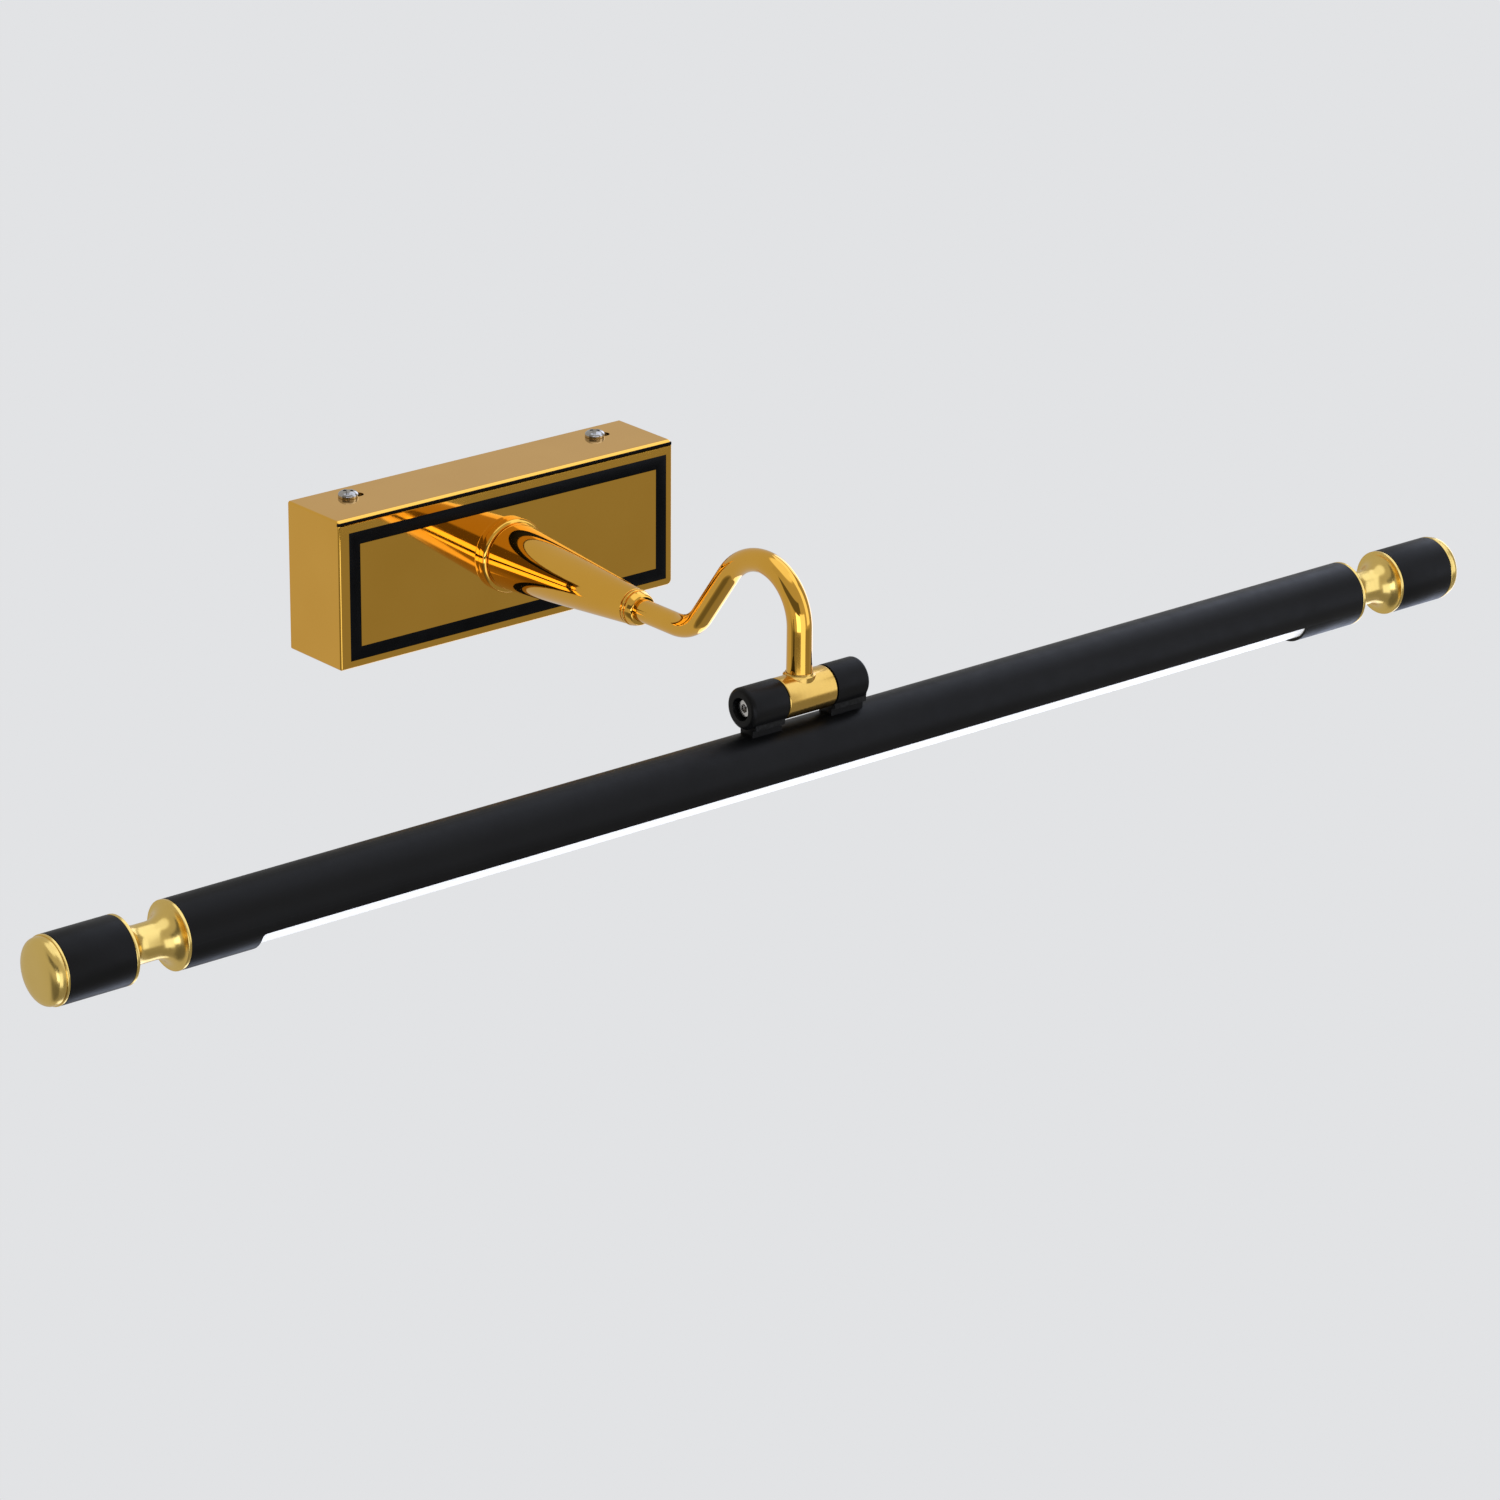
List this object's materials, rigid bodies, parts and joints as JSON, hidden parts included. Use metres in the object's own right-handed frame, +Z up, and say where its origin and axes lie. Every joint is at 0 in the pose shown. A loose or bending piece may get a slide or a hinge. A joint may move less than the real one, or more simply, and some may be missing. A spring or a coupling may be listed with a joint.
{
  "type": "picture light",
  "caption": "Wall picture light: box canopy, cone and swan-neck arm, slotted tube lamp head with opal diffuser and turned finials, tilting on a clevis hinge.",
  "frame": {"origin": "centre of the wall plate's back face, on the wall", "axes": "+X along the lamp tube, to the right as seen from the room; +Y into the wall; +Z up"},
  "size_m": [0.6712, 0.22, 0.0855],
  "materials": {
    "polished_gold": "polished plating, lacquered",
    "satin_gold": "satin, brushed round",
    "black_paint": "satin powder coat",
    "black_line": "satin",
    "nickel": "bright plating",
    "zinc_steel": "zinc plated",
    "aluminium": "mill finish",
    "brass": "machined",
    "white_plastic": "moulded",
    "opal": "opal, lit from inside",
    "nylon": "moulded",
    "led_white": "white solder mask",
    "lead_sheath": "silicone sheath"
  },
  "bodies": {
    "wall_mount": {"wall_plate": "zinc_steel", "wall_cover": "polished_gold", "black_line_inlay": "black_line", "black_top_line": "black_line", "cover_screw_left": "nickel", "cover_screw_right": "nickel", "led_driver": "white_plastic", "terminal_block": "white_plastic", "earth_screw": "brass", "cone_ring": "polished_gold", "arm_cone": "polished_gold", "cone_collar": "polished_gold", "threaded_nipple": "zinc_steel", "nipple_washer": "zinc_steel", "nipple_nut": "brass", "swan_neck_tube": "polished_gold", "arm_lead": "lead_sheath", "hinge_barrel": "satin_gold", "pivot_bush": "brass", "pivot_screw": "nickel"},
    "lamp_head": {"lamp_tube": "black_paint", "hinge_ear_left": "black_paint", "hinge_ear_right": "black_paint", "hollow_pivot": "zinc_steel", "friction_washer_left": "nylon", "friction_washer_right": "nylon", "ear_screw_left": "zinc_steel", "ear_screw_right": "zinc_steel", "heat_sink": "aluminium", "led_board": "led_white", "diffuser": "opal", "head_lead": "lead_sheath", "end_plug_left": "aluminium", "end_plug_right": "aluminium", "finial_stud_left": "zinc_steel", "finial_stud_right": "zinc_steel", "finial_spool_left": "satin_gold", "finial_spool_right": "satin_gold", "finial_sleeve_left": "black_paint", "finial_sleeve_right": "black_paint", "finial_cap_left": "satin_gold", "finial_cap_right": "satin_gold"}
  },
  "joints": [
    {"name": "head_tilt", "type": "hinge", "parent": "wall_mount", "child": "lamp_head", "pos_m": [0, -0.2073, -0.0065], "axis": [1, 0, 0], "range_deg": [-90, 90]}
  ]
}
